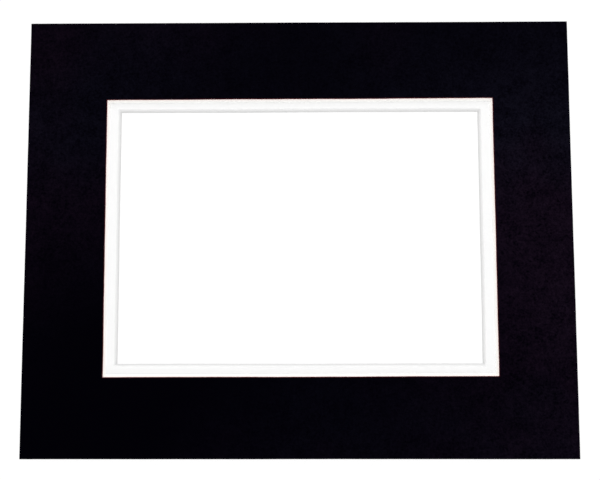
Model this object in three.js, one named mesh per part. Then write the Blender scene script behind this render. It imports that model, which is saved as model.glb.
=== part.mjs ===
// A double picture mount: a 10 x 8 inch surround for a 7 x 5 inch picture, lying face up.
// A black-faced board with a white core lies over a white under board. Each has a window whose
// edge is cut at 45 degrees towards the face, and the under board's window is the smaller one,
// so that a white border shows inside the black one. Strips of double-sided tape bond the boards.
// Millimetres, +Z up out of the face, +X along the long side, origin under the middle of the mount.

import * as THREE from "three";

// Outer size of the top board, which sets the size of frame that the mount fits
const mountWidth = 254;
const mountHeight = 203.2;

// The under board is cut smaller all round, so that it never shows past the top board
const underBoardInset = 3.2;

// Sheet thicknesses. The facing paper is laminated to the core and cut through with it
const facingPaperThickness = 0.25;
const coreThickness = 1.15;
const underBoardThickness = 1.4;
const tapeThickness = 0.1;

// Windows, each measured at the back of its board, where the sloping cut leaves it smallest
const topWindowWidth = 178.8;
const topWindowHeight = 126.9;
const underWindowWidth = 168.2;
const underWindowHeight = 117.8;

// How far each window was cut to the right of the middle, and how far the top one is out of square
const topWindowDrift = 0.6;
const underWindowDrift = 0.35;
const topWindowTurnDegrees = 0.12;

// Slope of the window cuts, measured from the face of the board
const cutAngleDegrees = 45;

// Double-sided tape, one strip behind each border
const tapeWidth = 12;
const tapeEndGap = 6;

// Heights of the surfaces, from the back of the mount to its face
const underFaceZ = underBoardThickness;
const topBackZ = underFaceZ + tapeThickness;
const coreFaceZ = topBackZ + coreThickness;
const topFaceZ = coreFaceZ + facingPaperThickness;

const underBoardWidth = mountWidth - 2 * underBoardInset;
const underBoardHeight = mountHeight - 2 * underBoardInset;

const facingBlack = new THREE.MeshStandardMaterial({ color: 0x08060d, roughness: 0.85, metalness: 0 });
const coreWhite = new THREE.MeshStandardMaterial({ color: 0xf6f1ea, roughness: 0.9, metalness: 0 });
const underWhite = new THREE.MeshStandardMaterial({ color: 0xfbfbf8, roughness: 0.85, metalness: 0 });
const tapeCream = new THREE.MeshStandardMaterial({ color: 0xe6dfc8, roughness: 0.6, metalness: 0 });

// Corners of a level rectangle, anticlockwise from above, turned about its own middle
function rectangle(width, height, z, centreX = 0, turnDegrees = 0) {
  const middle = new THREE.Vector2(centreX, 0);
  return [[-1, -1], [1, -1], [1, 1], [-1, 1]].map(([x, y]) => {
    const corner = new THREE.Vector2(centreX + (x * width) / 2, (y * height) / 2);
    corner.rotateAround(middle, THREE.MathUtils.degToRad(turnDegrees));
    return [corner.x, corner.y, z];
  });
}

// Lofts a closed skin through a cycle of corner loops, each joined to the next and the last to the first
function loftCycle(loops) {
  const positions = [];
  loops.forEach((loop, level) => {
    const next = loops[(level + 1) % loops.length];
    loop.forEach((corner, side) => {
      const following = (side + 1) % loop.length;
      positions.push(...corner, ...loop[following], ...next[following]);
      positions.push(...corner, ...next[following], ...next[side]);
    });
  });
  const geometry = new THREE.BufferGeometry();
  geometry.setAttribute("position", new THREE.Float32BufferAttribute(positions, 3));
  geometry.computeVertexNormals();
  return geometry;
}

// One ply of a board, with upright outer edges and sloping window walls. The window's size is the one
// at the back of the whole board, so a ply that lies further forward has a wider opening.
function windowedPly({ width, height, backZ, faceZ, window }) {
  const opening = (z) => {
    const growth = (2 * (z - window.backZ)) / Math.tan(THREE.MathUtils.degToRad(cutAngleDegrees));
    return rectangle(window.width + growth, window.height + growth, z, window.drift, window.turn);
  };
  return loftCycle([
    rectangle(width, height, backZ),
    rectangle(width, height, faceZ),
    opening(faceZ),
    opening(backZ),
  ]);
}

const topWindow = {
  width: topWindowWidth,
  height: topWindowHeight,
  drift: topWindowDrift,
  turn: topWindowTurnDegrees,
  backZ: topBackZ,
};
const underWindow = {
  width: underWindowWidth,
  height: underWindowHeight,
  drift: underWindowDrift,
  turn: 0,
  backZ: 0,
};

// Top board: black facing paper on a white core, with one sloping cut through both
function topBoard() {
  const outline = { width: mountWidth, height: mountHeight, window: topWindow };
  const facingPly = windowedPly({ ...outline, backZ: coreFaceZ, faceZ: topFaceZ });
  const facingPaper = new THREE.Mesh(facingPly, facingBlack);
  facingPaper.name = "top_board_facing_paper";
  const corePly = windowedPly({ ...outline, backZ: topBackZ, faceZ: coreFaceZ });
  const core = new THREE.Mesh(corePly, coreWhite);
  core.name = "top_board_core";
  return new THREE.Group().add(facingPaper, core);
}

// Under board: white all through, and seen only as a border round the picture
function underBoard() {
  const outline = { width: underBoardWidth, height: underBoardHeight, window: underWindow };
  const board = new THREE.Mesh(windowedPly({ ...outline, backZ: 0, faceZ: underFaceZ }), underWhite);
  board.name = "under_board";
  return board;
}

// Four strips of tape, each along the middle of the band where the two boards overlap.
// The strips above and below the window run from side to side, and the other two fit between them.
function bondingTape() {
  const strips = new THREE.Group();
  strips.position.z = underFaceZ + tapeThickness / 2;

  const middleY = (topWindowHeight + underBoardHeight) / 4;
  const longStrip = underBoardWidth - 2 * tapeEndGap;
  const shortStrip = 2 * (middleY - tapeWidth / 2 - tapeEndGap);

  for (const [side, direction] of [["top", 1], ["bottom", -1]]) {
    const strip = new THREE.Mesh(new THREE.BoxGeometry(longStrip, tapeWidth, tapeThickness), tapeCream);
    strip.name = `bonding_tape_${side}`;
    strip.position.y = direction * middleY;
    strips.add(strip);
  }
  for (const [side, direction] of [["right", 1], ["left", -1]]) {
    const windowEdge = topWindowDrift + (direction * topWindowWidth) / 2;
    const boardEdge = (direction * underBoardWidth) / 2;
    const strip = new THREE.Mesh(new THREE.BoxGeometry(tapeWidth, shortStrip, tapeThickness), tapeCream);
    strip.name = `bonding_tape_${side}`;
    strip.position.x = (windowEdge + boardEdge) / 2;
    strips.add(strip);
  }
  return strips;
}

const mount = new THREE.Group();
mount.add(underBoard(), bondingTape(), topBoard());

export default mount;
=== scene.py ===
"""Looks of a double picture mount: black-faced board over white board, with stepped bevel-cut windows.

Metres, in the part's own frame: +X along the long side, +Y up the picture, +Z out of the face.
"""

import math

import bpy
import numpy as np
from mathutils import Matrix, Vector, noise


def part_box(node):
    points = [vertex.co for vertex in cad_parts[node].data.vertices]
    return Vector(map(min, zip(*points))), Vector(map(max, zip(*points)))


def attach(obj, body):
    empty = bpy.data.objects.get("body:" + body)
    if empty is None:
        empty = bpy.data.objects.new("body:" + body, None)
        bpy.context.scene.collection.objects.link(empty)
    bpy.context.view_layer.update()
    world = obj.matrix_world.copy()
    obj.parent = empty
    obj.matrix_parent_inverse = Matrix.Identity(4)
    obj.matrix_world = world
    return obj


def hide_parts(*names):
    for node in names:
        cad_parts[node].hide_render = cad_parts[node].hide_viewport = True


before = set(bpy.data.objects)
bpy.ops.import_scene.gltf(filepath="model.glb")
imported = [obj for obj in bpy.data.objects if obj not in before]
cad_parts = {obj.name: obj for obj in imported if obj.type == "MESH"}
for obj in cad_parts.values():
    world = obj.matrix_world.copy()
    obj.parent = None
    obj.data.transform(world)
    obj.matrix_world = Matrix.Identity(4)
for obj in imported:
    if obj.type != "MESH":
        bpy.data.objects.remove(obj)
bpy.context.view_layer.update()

MM = 0.001

# Camera, fitted to the mount's outer corners and window edges in a frame of 600 x 480
CAMERA_PLACE = Vector((3.70, -36.00, 384.86)) * MM
CAMERA_AIM = Vector((0.59, -1.98, 2.90)) * MM
CAMERA_ROLL_DEGREES = -0.09
CAMERA_LENS_MM = 49.676
SENSOR_WIDTH_MM = 36.0
CAMERA_SEES = (0.01, 20.0)

# Points along each outline of a board, and rings across its face and back
LONG_SIDE_STEPS = 340
SHORT_SIDE_STEPS = 260
CORNER_STEPS = 3
FACE_RINGS = 26
BACK_RINGS = 12
CUT_RINGS = 7
EDGE_RINGS = 4
ARRIS_STEPS = 3

# How sharp the knife and the guillotine left the corners and edges
WINDOW_CORNER_RADIUS = 0.22 * MM
OUTER_CORNER_RADIUS = 0.12 * MM
GUILLOTINED_ARRIS = 0.10 * MM
KNIFE_ARRIS = 0.05 * MM
SUPPORT_RING = 0.08 * MM
SHARP_FROM_DEGREES = 35

# How far the cuts stray from straight lines: waves along each side, dying out near its ends
OUTER_STRAY = 0.03 * MM
WINDOW_STRAY = 0.045 * MM
STRAY_WAVES = (0.8, 1.9, 4.3, 9.7)
STRAY_DIES_WITHIN = 0.03

# How rough the fibres of the cuts are
CUT_FRAY = 0.022 * MM
FRAY_GRAIN = 0.55 * MM

# Shallow waviness of the pressed faces
FACE_RELIEF = 0.02 * MM
RELIEF_GRAIN = 5.0 * MM

# Past the tape, the top board's window edge has settled almost onto the under board
SETTLED_BY = 0.09 * MM
SETTLED_WITHIN = 11 * MM

# Seeds of the random draws: the stray of each cut, and the fibres and dents of each board
OUTER_CUT_SEED = 3
TOP_WINDOW_SEED = 5
UNDER_OUTER_CUT_SEED = 11
UNDER_WINDOW_SEED = 13
TOP_BOARD_SEED = 7
UNDER_BOARD_SEED = 17

# In the CAD corners, those this close to the outer edge belong to it and the others to the window
OUTER_ZONE = 1 * MM

# Floor: its size and drop, its own glow, how much of the light on it adds to that, its tone to
# soft light, and how far from the middle it fades to white
FLOOR_SIZE = 6.0
FLOOR_DROP = 0.02 * MM
FLOOR_GLOW = 0.84
FLOOR_DIMMED = 0.2
FLOOR_TONE = 0.85
FLOOR_FADES_FROM = 0.35
FLOOR_FADES_TO = 1.0

# Soft boxes: place, size, and part of a level white sheet's full brightness
LAMPS = {
    "right_lamp": ((0.48, 0.20, 1.4), 0.5, 0.105),
    "left_lamp": ((-0.55, 0.40, 1.4), 0.5, 0.055),
    "back_lamp": ((0.0, 1.40, 0.8), 0.9, 0.152),
    "front_lamp": ((0.0, -1.40, 0.8), 0.9, 0.098),
}
ZENITH_LIGHT = 0.18
HORIZON_LIGHT = 1.07


class Rectangle:
    """A level rectangle, turned by some radians about its own middle."""

    def __init__(self, middle, size, turn=0.0):
        self.middle = np.array(middle, float)
        self.size = np.array(size, float)
        self.turn = turn

    @classmethod
    def through(cls, corners):
        """The rectangle whose corners are among these points."""
        corners = corners[:, :2]
        rising = corners.sum(1)
        falling = corners[:, 0] - corners[:, 1]
        bottom_left, bottom_right = corners[rising.argmin()], corners[falling.argmax()]
        top_left, top_right = corners[falling.argmin()], corners[rising.argmax()]
        along, up = bottom_right - bottom_left, top_left - bottom_left
        size = (np.linalg.norm(along), np.linalg.norm(up))
        return cls((bottom_left + top_right) / 2, size, math.atan2(along[1], along[0]))

    def grown(self, reach):
        return Rectangle(self.middle, self.size + 2 * reach, self.turn)

    def distance(self, points):
        """How far outside the rectangle each point lies, leaving its small turn out."""
        return (np.abs(points[:, :2] - self.middle) - self.size / 2).max(1)


class Outline:
    """The points that every outline of a board has, anticlockwise from its bottom left corner."""

    def __init__(self):
        side, along, angle, turning = [], [], [], []
        for k, steps in enumerate((LONG_SIDE_STEPS, SHORT_SIDE_STEPS) * 2):
            facing = math.radians(90 * k - 90)
            side += [k] * (steps + CORNER_STEPS)
            along += [i / steps for i in range(steps)] + [1.0] * CORNER_STEPS
            angle += [facing] * steps
            angle += [facing + math.radians(90) * i / CORNER_STEPS for i in range(CORNER_STEPS)]
            turning += [0.0] * steps + [1.0] * CORNER_STEPS
        self.side = np.array(side)
        self.along = np.array(along)
        self.straight = 1 - np.array(turning)
        self.outward = np.column_stack((np.cos(angle), np.sin(angle)))

    def points(self, rectangle, radius, z, stray):
        """Points round a rectangle at a height, its corners rounded, moved outward by stray."""
        arms = rectangle.size / 2 - radius
        centres = arms * np.array(((1, -1), (1, 1), (-1, 1), (-1, -1)))
        start = centres[self.side - 1]
        end = centres[self.side]
        flat = start + (end - start) * self.along[:, None]
        flat = flat + self.outward * (radius + stray)[:, None]
        cosine, sine = math.cos(rectangle.turn), math.sin(rectangle.turn)
        flat = flat @ np.array(((cosine, sine), (-sine, cosine))) + rectangle.middle
        return np.column_stack((flat, np.full(len(flat), z)))

    def stray(self, seed, reach):
        """How far a cut strays outward along each side: slow waves that die out at the corners."""
        draw = np.random.default_rng(seed)
        stray = np.zeros(len(self.side))
        for k in range(4):
            on_side = self.side == k
            for waves in STRAY_WAVES:
                height = draw.uniform(0.5, 1.0) / math.sqrt(waves)
                turns = waves * self.along[on_side] + draw.random()
                stray[on_side] += height * np.sin(2 * math.pi * turns)
        to_corner = np.minimum(self.along, 1 - self.along) * self.straight
        return reach * stray * np.clip(to_corner / STRAY_DIES_WITHIN, 0, 1)


OUTLINE = Outline()


def between(first, last, shares):
    """Outlines part of the way from one outline to another."""
    return [first + (last - first) * share for share in shares]


def arris(before, corner, after):
    """Outlines that round off the edge at corner, from before to after, both included."""
    shares = np.linspace(0, 1, ARRIS_STEPS + 1)
    return [(1 - s) ** 2 * before + 2 * s * (1 - s) * corner + s * s * after for s in shares]


def frayed(outlines, seed):
    """Cut outlines with their fibres torn slightly in and out."""
    rough = []
    shift = Vector((seed, 0, 0))
    for points in outlines:
        pull = [noise.noise(Vector(p) / FRAY_GRAIN + shift) for p in points]
        moved = points.copy()
        moved[:, :2] += OUTLINE.outward * (CUT_FRAY * np.array(pull))[:, None]
        rough.append(moved)
    return rough


def flat_rings(first, last, rings):
    """Rings across a flat surface, one of them close to each edge, and how far each is from an edge."""
    width = np.linalg.norm(last[:, :2] - first[:, :2], axis=1).mean()
    support = SUPPORT_RING / width
    shares = [support, *np.linspace(0, 1, rings + 2)[1:-1], 1 - support]
    return between(first, last, shares), [min(share, 1 - share) * width for share in shares]


def pressed_face(first, last, rings, seed):
    """Rings across the face of a board, dented slightly by the press."""
    surface, from_edge = flat_rings(first, last, rings)
    shift = Vector((0, seed, 0))
    for points, distance in zip(surface, from_edge):
        depth = [0.5 + 0.5 * noise.noise(Vector(p) / RELIEF_GRAIN + shift) for p in points]
        points[:, 2] -= FACE_RELIEF * min(1.0, distance / RELIEF_GRAIN) * np.array(depth)
    return surface


def settled(outlines, window):
    """Outlines lowered where they come near the window."""
    lowered = []
    for points in outlines:
        share = np.clip(1 - window.distance(points) / SETTLED_WITHIN, 0, 1)
        moved = points.copy()
        moved[:, 2] -= SETTLED_BY * share * share * (3 - 2 * share)
        lowered.append(moved)
    return lowered


def closed_ring(name, bands, materials):
    """A mesh skinned through bands of outlines, the last joined to the first.

    bands are [(outlines, number of the material)].
    """
    outlines = [points for band, _ in bands for points in band]
    numbers = [number for band, number in bands for _ in band]
    count = len(outlines[0])
    around = np.arange(count)
    following = np.roll(around, -1)
    faces = []
    for i in range(len(outlines)):
        low = i * count
        high = (i + 1) % len(outlines) * count
        faces.append(np.column_stack((low + around, low + following, high + following, high + around)))
    mesh = bpy.data.meshes.new(name)
    mesh.from_pydata(np.vstack(outlines).tolist(), [], np.vstack(faces).tolist())
    mesh.polygons.foreach_set("material_index", np.repeat(numbers, count).astype(np.int32))
    mesh.polygons.foreach_set("use_smooth", np.ones(len(mesh.polygons), bool))
    mesh.set_sharp_from_angle(angle=math.radians(SHARP_FROM_DEGREES))
    for material in materials:
        mesh.materials.append(material)
    mesh.update()
    piece = bpy.data.objects.new(name, mesh)
    bpy.context.scene.collection.objects.link(piece)
    return piece


class Ply:
    """Sizes of one windowed CAD node, read from its corners."""

    def __init__(self, node):
        low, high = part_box(node)
        corners = np.array([v.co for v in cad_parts[node].data.vertices])
        from_edge = np.minimum(corners[:, 0] - low.x, high.x - corners[:, 0])
        window = corners[from_edge > OUTER_ZONE]
        middle = (low.z + high.z) / 2
        self.back_z = low.z
        self.face_z = high.z
        self.outer = Rectangle.through(corners[from_edge < OUTER_ZONE])
        self.window_back = Rectangle.through(window[window[:, 2] < middle])
        self.window_face = Rectangle.through(window[window[:, 2] > middle])


def board_piece(name, node, materials, strays, seed, faced=True, backed=True, settles=False):
    """A ply or board as it was cut.

    materials are those of its face, its window cut, its back and its outer edge.
    strays are those of its outer edge and of its window.
    faced and backed say whether its face and its back have rounded arrises.
    settles says whether it comes down towards its window.
    """
    ply = Ply(node)
    outer_stray, window_stray = strays

    def outer(inset, z):
        return OUTLINE.points(ply.outer.grown(-inset), OUTER_CORNER_RADIUS, z, outer_stray)

    def window(rectangle, outset, z):
        return OUTLINE.points(rectangle.grown(outset), WINDOW_CORNER_RADIUS, z, window_stray)

    top_arris = GUILLOTINED_ARRIS if faced else 0
    foot_arris = GUILLOTINED_ARRIS if backed else 0
    lip = KNIFE_ARRIS if faced else 0

    edge_foot = outer(0, ply.back_z + foot_arris)
    edge_top = outer(0, ply.face_z - top_arris)
    edge = between(edge_foot, edge_top, np.linspace(0, 1, EDGE_RINGS + 1))
    cut_top = window(ply.window_face, 0, ply.face_z)
    cut_foot = window(ply.window_back, 0, ply.back_z)
    lip_share = lip / (ply.face_z - ply.back_z)
    cut = between(cut_top, cut_foot, np.linspace(lip_share, 1, CUT_RINGS + 1))
    if faced:
        edge = edge[:-1] + arris(edge_top, outer(0, ply.face_z), outer(top_arris, ply.face_z))
        cut = arris(window(ply.window_face, lip, ply.face_z), cut_top, cut[0]) + cut[1:]
    edge = frayed(edge, seed)
    cut = frayed(cut, seed)
    foot = []
    if backed:
        foot = arris(outer(foot_arris, ply.back_z), outer(0, ply.back_z), edge_foot)
        foot = frayed(foot, seed)[:-1]
    face = pressed_face(edge[-1], cut[0], FACE_RINGS, seed)
    back, _ = flat_rings(cut[-1], (foot + edge)[0], BACK_RINGS)

    bands = [(edge, 3), (face, 0), (cut, 1), (back, 2), (foot, 3)]
    if settles:
        bands = [(settled(outlines, ply.window_face), number) for outlines, number in bands]
    piece = closed_ring(name, [band for band in bands if band[0]], materials)
    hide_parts(node)
    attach(piece, "root")
    return piece


class Paint:
    """A Principled material whose patterns are laid out in metres on the object."""

    def __init__(self, name, roughness, specular):
        self.material = bpy.data.materials.new(name)
        self.material.use_nodes = True
        self.tree = self.material.node_tree
        self.shader = self.tree.nodes["Principled BSDF"]
        self.shader.inputs["Roughness"].default_value = roughness
        self.shader.inputs["Specular IOR Level"].default_value = specular
        self.place = self.tree.nodes.new("ShaderNodeTexCoord").outputs["Object"]

    def link(self, source, target):
        self.tree.links.new(source, target)

    def stretched(self, grain, offset):
        """Coordinates in which a pattern's grain has the size (x, y, z)."""
        mapping = self.tree.nodes.new("ShaderNodeMapping")
        mapping.inputs["Location"].default_value = offset
        mapping.inputs["Scale"].default_value = [1 / size for size in grain]
        self.link(self.place, mapping.inputs["Vector"])
        return mapping.outputs["Vector"]

    def noise(self, grain, detail=2.0, roughness=0.5, distortion=0.0, offset=(0, 0, 0)):
        """Cloudy noise from 0 to 1 with features of about the size grain, or (x, y, z)."""
        sizes = grain if isinstance(grain, tuple) else (grain,) * 3
        texture = self.tree.nodes.new("ShaderNodeTexNoise")
        texture.inputs["Scale"].default_value = 1.0
        texture.inputs["Detail"].default_value = detail
        texture.inputs["Roughness"].default_value = roughness
        texture.inputs["Distortion"].default_value = distortion
        self.link(self.stretched(sizes, offset), texture.inputs["Vector"])
        return texture.outputs["Fac"]

    def height(self, low, high):
        """Share of the way up from one height to another."""
        split = self.tree.nodes.new("ShaderNodeSeparateXYZ")
        self.link(self.place, split.inputs["Vector"])
        return self.ranged(split.outputs["Z"], low, high, 0, 1)

    def ranged(self, value, low, high, to_low, to_high):
        node = self.tree.nodes.new("ShaderNodeMapRange")
        node.inputs["From Min"].default_value = low
        node.inputs["From Max"].default_value = high
        node.inputs["To Min"].default_value = to_low
        node.inputs["To Max"].default_value = to_high
        self.link(value, node.inputs["Value"])
        return node.outputs["Result"]

    def math(self, operation, *values):
        node = self.tree.nodes.new("ShaderNodeMath")
        node.operation = operation
        for value, socket in zip(values, node.inputs):
            if isinstance(value, (int, float)):
                socket.default_value = value
            else:
                self.link(value, socket)
        return node.outputs["Value"]

    def blend(self, *parts):
        """Sum of the values of (value, share) pairs, each times its share."""
        total = 0.0
        for value, share in parts:
            total = self.math("MULTIPLY_ADD", value, share, total)
        return total

    def ramp(self, value, stops):
        """Colours along a value, as [(position, (r, g, b))]."""
        node = self.tree.nodes.new("ShaderNodeValToRGB")
        elements = node.color_ramp.elements
        while len(elements) < len(stops):
            elements.new(0.5)
        for element, (position, colour) in zip(elements, stops):
            element.position = position
            element.color = (*colour, 1)
        self.link(value, node.inputs["Fac"])
        return node.outputs["Color"]

    def mixed(self, share, first, second, blend="MIX"):
        node = self.tree.nodes.new("ShaderNodeMix")
        node.data_type = "RGBA"
        node.blend_type = blend
        if isinstance(share, (int, float)):
            node.inputs["Factor"].default_value = share
        else:
            self.link(share, node.inputs["Factor"])
        for value, socket in ((first, node.inputs[6]), (second, node.inputs[7])):
            if isinstance(value, tuple):
                socket.default_value = (*value, 1)
            else:
                self.link(value, socket)
        return node.outputs[2]

    def colour(self, value):
        self.link(value, self.shader.inputs["Base Color"])

    def roughen(self, value, low, high):
        self.link(self.ranged(value, 0.3, 0.7, low, high), self.shader.inputs["Roughness"])

    def bump(self, value, depth):
        """Bump whose full range is a depth in metres. A second call adds to the first."""
        node = self.tree.nodes.new("ShaderNodeBump")
        node.inputs["Strength"].default_value = 1.0
        node.inputs["Distance"].default_value = depth
        self.link(value, node.inputs["Height"])
        socket = self.shader.inputs["Normal"]
        if socket.links:
            self.link(socket.links[0].from_socket, node.inputs["Normal"])
        self.link(node.outputs["Normal"], socket)


def black_facing_paper():
    """Near-black paper speckled with paler fibres, indigo to violet, lightened by painted sheen in
    broad clouds.
    """
    paint = Paint("black_facing_paper", roughness=0.5, specular=0.006)
    paint.shader.inputs["Specular Tint"].default_value = (1.0, 0.7, 1.0, 1)
    # Painted sheen: the broad clouds lighten the paper where light would shine off it, and leave it
    # darkest elsewhere
    clouds = paint.noise(160 * MM, detail=1, offset=(5.18, 1.85, 0.7))
    casts = paint.noise(120 * MM, detail=1, offset=(5.18, 4.81, 0.9))
    tints = paint.noise(26 * MM, detail=2)
    mottle = paint.noise(1.7 * MM, detail=3, roughness=0.7)
    specks = paint.noise(0.9 * MM, detail=2, roughness=0.6)
    patches = paint.noise(7 * MM, detail=2)
    grain = paint.blend((mottle, 0.42), (specks, 0.36), (patches, 0.22))
    # Painted sheen times fibre grain: how much of the paler colour each spot takes
    painted_sheen_share = paint.ranged(clouds, 0.26, 0.66, 0.02, 1)
    grain_and_painted_sheen = paint.math("MULTIPLY", painted_sheen_share, paint.ranged(grain, 0.37, 0.63, 0, 1))
    # The paler colour is that of the fibres and of the painted sheen
    indigo = (0.0051, 0.0048, 0.0099)
    violet = (0.0080, 0.0042, 0.0098)
    cast = paint.blend((casts, 0.8), (tints, 0.2))
    fibres = paint.ramp(cast, [(0.42, indigo), (0.57, violet)])
    ground = (0.0001, 0.00005, 0.0010)
    paint.colour(paint.mixed(grain_and_painted_sheen, ground, fibres))
    paint.roughen(mottle, 0.45, 0.58)
    paint.bump(mottle, 0.030 * MM)
    paint.bump(specks, 0.014 * MM)
    return paint.material


def cut_black_paper():
    """The knife's cut through the black paper, where its dyed fibres show brown."""
    paint = Paint("black_paper_cut", roughness=0.9, specular=0.1)
    fibres = paint.noise(0.4 * MM, detail=2)
    paint.colour(paint.ramp(fibres, [(0.35, (0.050, 0.009, 0.011)), (0.65, (0.104, 0.018, 0.022))]))
    return paint.material


def white_paper(name, light, shade):
    """Smooth white paper with barely visible clouding and short fibres."""
    paint = Paint(name, roughness=0.85, specular=0.25)
    clouds = paint.noise(9 * MM, detail=4)
    fibres = paint.noise((0.9 * MM, 0.35 * MM, 0.5 * MM), detail=3, roughness=0.65, distortion=1.2)
    tone = paint.blend((clouds, 0.4), (fibres, 0.6))
    paint.colour(paint.ramp(tone, [(0.35, shade), (0.65, light)]))
    paint.roughen(fibres, 0.78, 0.92)
    paint.bump(fibres, 0.012 * MM)
    return paint.material


def cut_core(name, ply, tones):
    """Cut edge of a board: pulp in fine layers along the cut, its tones running from foot to top."""
    paint = Paint(name, roughness=0.9, specular=0.2)
    layers = paint.noise((6 * MM, 6 * MM, 0.11 * MM), detail=2, roughness=0.6)
    fibres = paint.noise(0.35 * MM, detail=3, roughness=0.65, distortion=0.8)
    stops = [(i / (len(tones) - 1), tone) for i, tone in enumerate(tones)]
    body = paint.ramp(paint.height(ply.back_z, ply.face_z), stops)
    pulp = paint.blend((layers, 0.6), (fibres, 0.4))
    shading = paint.ramp(pulp, [(0.32, (0.93, 0.93, 0.925)), (0.62, (1.0, 1.0, 1.0))])
    paint.colour(paint.mixed(1.0, body, shading, blend="MULTIPLY"))
    paint.bump(layers, 0.03 * MM)
    paint.bump(fibres, 0.03 * MM)
    return paint.material


def tape_film():
    """Double-sided tape: pale adhesive on tissue."""
    paint = Paint("double_sided_tape", roughness=0.45, specular=0.4)
    tissue = paint.noise((0.4 * MM, 1.6 * MM, 0.4 * MM), detail=3, distortion=1.0)
    paint.colour(paint.ramp(tissue, [(0.35, (0.66, 0.61, 0.47)), (0.65, (0.82, 0.77, 0.63))]))
    paint.roughen(tissue, 0.35, 0.60)
    paint.bump(tissue, 0.02 * MM)
    return paint.material


def make_boards():
    black = black_facing_paper()
    backing = white_paper("white_backing_paper", (0.93, 0.925, 0.905), (0.90, 0.895, 0.87))
    under_face = white_paper("white_facing_paper", (0.965, 0.965, 0.965), (0.95, 0.95, 0.948))
    core = Ply("top_board_core")
    under = Ply("under_board")
    warming = [(0.98, 0.98, 0.965), (0.96, 0.92, 0.885), (0.975, 0.85, 0.82)]
    top_cut = cut_core("top_board_cut", core, warming)
    # The under board's cut is painted darker towards its foot: painted shade where it meets the floor
    under_cut_painted_shade = cut_core("under_board_cut_painted_shade", under, [(0.675, 0.675, 0.675), (0.945, 0.945, 0.945)])
    top_edge = cut_core("top_board_edge", core, [(0.84, 0.83, 0.80), (0.86, 0.85, 0.83)])
    under_edge = cut_core("under_board_edge", under, [(0.84, 0.84, 0.82), (0.87, 0.87, 0.86)])

    top_strays = (
        OUTLINE.stray(OUTER_CUT_SEED, OUTER_STRAY),
        OUTLINE.stray(TOP_WINDOW_SEED, WINDOW_STRAY),
    )
    under_strays = (
        OUTLINE.stray(UNDER_OUTER_CUT_SEED, OUTER_STRAY),
        OUTLINE.stray(UNDER_WINDOW_SEED, WINDOW_STRAY),
    )
    papers = [black, cut_black_paper(), black, black]
    cores = [top_cut, top_cut, backing, top_edge]
    unders = [under_face, under_cut_painted_shade, backing, under_edge]
    pieces = {
        "black_facing_paper": board_piece(
            "facing_paper",
            "top_board_facing_paper",
            papers,
            top_strays,
            TOP_BOARD_SEED,
            backed=False,
            settles=True,
        ),
        "white_core": board_piece(
            "top_board", "top_board_core", cores, top_strays, TOP_BOARD_SEED, faced=False, settles=True
        ),
        "white_mount_board": board_piece(
            "lower_board", "under_board", unders, under_strays, UNDER_BOARD_SEED
        ),
    }


def dress_tape():
    film = tape_film()
    for name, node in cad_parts.items():
        if name.startswith("bonding_tape"):
            node.data.materials.clear()
            node.data.materials.append(film)


def seen_ray(nodes, links):
    """1 for the camera's rays and those that gloss or glass passes on, 0 for rays of soft light."""
    rays = nodes.new("ShaderNodeLightPath")
    seen = rays.outputs["Is Camera Ray"]
    for kind in ("Is Glossy Ray", "Is Transmission Ray"):
        either = nodes.new("ShaderNodeMath")
        either.operation = "MAXIMUM"
        links.new(seen, either.inputs[0])
        links.new(rays.outputs[kind], either.inputs[1])
        seen = either.outputs["Value"]
    return seen


def make_floor():
    """A floor that is white to the camera and in reflections, and still takes the mount's shadow."""
    bpy.ops.mesh.primitive_plane_add(size=FLOOR_SIZE, location=(0, 0, -FLOOR_DROP))
    floor = bpy.context.object
    floor.name = "floor"
    material = bpy.data.materials.new("floor")
    material.use_nodes = True
    nodes, links = material.node_tree.nodes, material.node_tree.links
    nodes.clear()

    def node(kind, **settings):
        made = nodes.new(kind)
        for name, value in settings.items():
            made.inputs[name].default_value = value
        return made

    def mixed(share, first, second):
        mix = nodes.new("ShaderNodeMixShader")
        for source, socket in zip((share, first, second), mix.inputs):
            links.new(source, socket)
        return mix.outputs["Shader"]

    # Seen near the mount: mostly white of its own, and a little that shadows can dim
    own = node("ShaderNodeEmission", Strength=FLOOR_GLOW)
    dimmed = node("ShaderNodeBsdfDiffuse", Color=(FLOOR_DIMMED, FLOOR_DIMMED, FLOOR_DIMMED, 1))
    pale = nodes.new("ShaderNodeAddShader")
    links.new(own.outputs["Emission"], pale.inputs[0])
    links.new(dimmed.outputs["BSDF"], pale.inputs[1])

    # Seen far off: the white of the backdrop
    backdrop = node("ShaderNodeEmission", Strength=1.0)
    place = nodes.new("ShaderNodeTexCoord")
    distance = nodes.new("ShaderNodeVectorMath")
    distance.operation = "LENGTH"
    links.new(place.outputs["Object"], distance.inputs[0])
    far = node("ShaderNodeMapRange", **{"From Min": FLOOR_FADES_FROM, "From Max": FLOOR_FADES_TO})
    links.new(distance.outputs["Value"], far.inputs["Value"])
    shown = mixed(far.outputs["Result"], pale.outputs["Shader"], backdrop.outputs["Emission"])

    # All other rays meet a plain diffuse floor
    plain = node("ShaderNodeBsdfDiffuse", Color=(FLOOR_TONE, FLOOR_TONE, FLOOR_TONE, 1))
    output = nodes.new("ShaderNodeOutputMaterial")
    links.new(mixed(seen_ray(nodes, links), plain.outputs["BSDF"], shown), output.inputs["Surface"])
    floor.data.materials.append(material)


def make_lamp(name, place, size, share):
    """A square soft box aimed at the mount, as bright as its share asks."""
    place = Vector(place)
    data = bpy.data.lights.new(name, "AREA")
    data.shape = "SQUARE"
    data.size = size
    spread = place.length_squared + size**2 / 3
    data.energy = share * math.pi**2 * spread * place.length / place.z
    lamp = bpy.data.objects.new(name, data)
    lamp.location = place
    lamp.rotation_euler = place.to_track_quat("Z", "Y").to_euler()
    bpy.context.scene.collection.objects.link(lamp)


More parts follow.
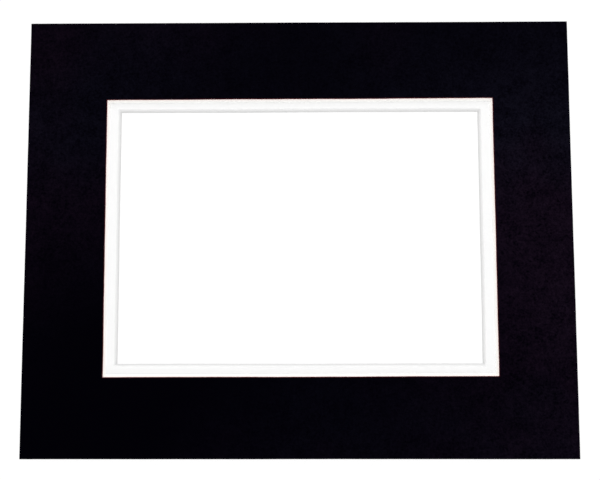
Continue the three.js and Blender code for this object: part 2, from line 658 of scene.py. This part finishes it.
def make_world(zenith, horizon):
    """Soft light from all round, dimmer overhead where the camera is. It is seen as plain white."""
    world = bpy.data.worlds.new("studio")
    world.use_nodes = True
    nodes, links = world.node_tree.nodes, world.node_tree.links
    nodes.clear()
    output = nodes.new("ShaderNodeOutputWorld")
    direction = nodes.new("ShaderNodeTexCoord")
    split = nodes.new("ShaderNodeSeparateXYZ")
    links.new(direction.outputs["Generated"], split.inputs["Vector"])
    squared = nodes.new("ShaderNodeMath")
    squared.operation = "MULTIPLY"
    links.new(split.outputs["Z"], squared.inputs[0])
    links.new(split.outputs["Z"], squared.inputs[1])
    level = nodes.new("ShaderNodeMapRange")
    level.inputs["To Min"].default_value = horizon
    level.inputs["To Max"].default_value = zenith
    links.new(squared.outputs["Value"], level.inputs["Value"])
    dome = nodes.new("ShaderNodeBackground")
    links.new(level.outputs["Result"], dome.inputs["Strength"])
    backdrop = nodes.new("ShaderNodeBackground")
    backdrop.inputs["Strength"].default_value = 1.0
    mix = nodes.new("ShaderNodeMixShader")
    links.new(seen_ray(nodes, links), mix.inputs["Fac"])
    links.new(dome.outputs["Background"], mix.inputs[1])
    links.new(backdrop.outputs["Background"], mix.inputs[2])
    links.new(mix.outputs["Shader"], output.inputs["Surface"])
    for node in (dome, backdrop):
        node.inputs["Color"].default_value = (1, 1, 1, 1)
    bpy.context.scene.world = world


def make_camera():
    data = bpy.data.cameras.new("camera")
    data.sensor_fit = "HORIZONTAL"
    data.sensor_width = SENSOR_WIDTH_MM
    data.lens = CAMERA_LENS_MM
    data.clip_start, data.clip_end = CAMERA_SEES
    camera = bpy.data.objects.new("camera", data)
    back = (CAMERA_PLACE - CAMERA_AIM).normalized()
    right = Vector((0, 1, 0)).cross(back).normalized()
    up = back.cross(right)
    facing = Matrix((right, up, back)).transposed().to_4x4()
    roll = Matrix.Rotation(math.radians(CAMERA_ROLL_DEGREES), 4, "Z")
    camera.matrix_world = Matrix.Translation(CAMERA_PLACE) @ facing @ roll
    bpy.context.scene.collection.objects.link(camera)
    bpy.context.scene.camera = camera


make_boards()
dress_tape()
make_floor()
for name, (place, size, share) in LAMPS.items():
    make_lamp(name, place, size, share)
make_world(ZENITH_LIGHT, HORIZON_LIGHT)
make_camera()
bpy.context.scene.view_settings.view_transform = "Standard"
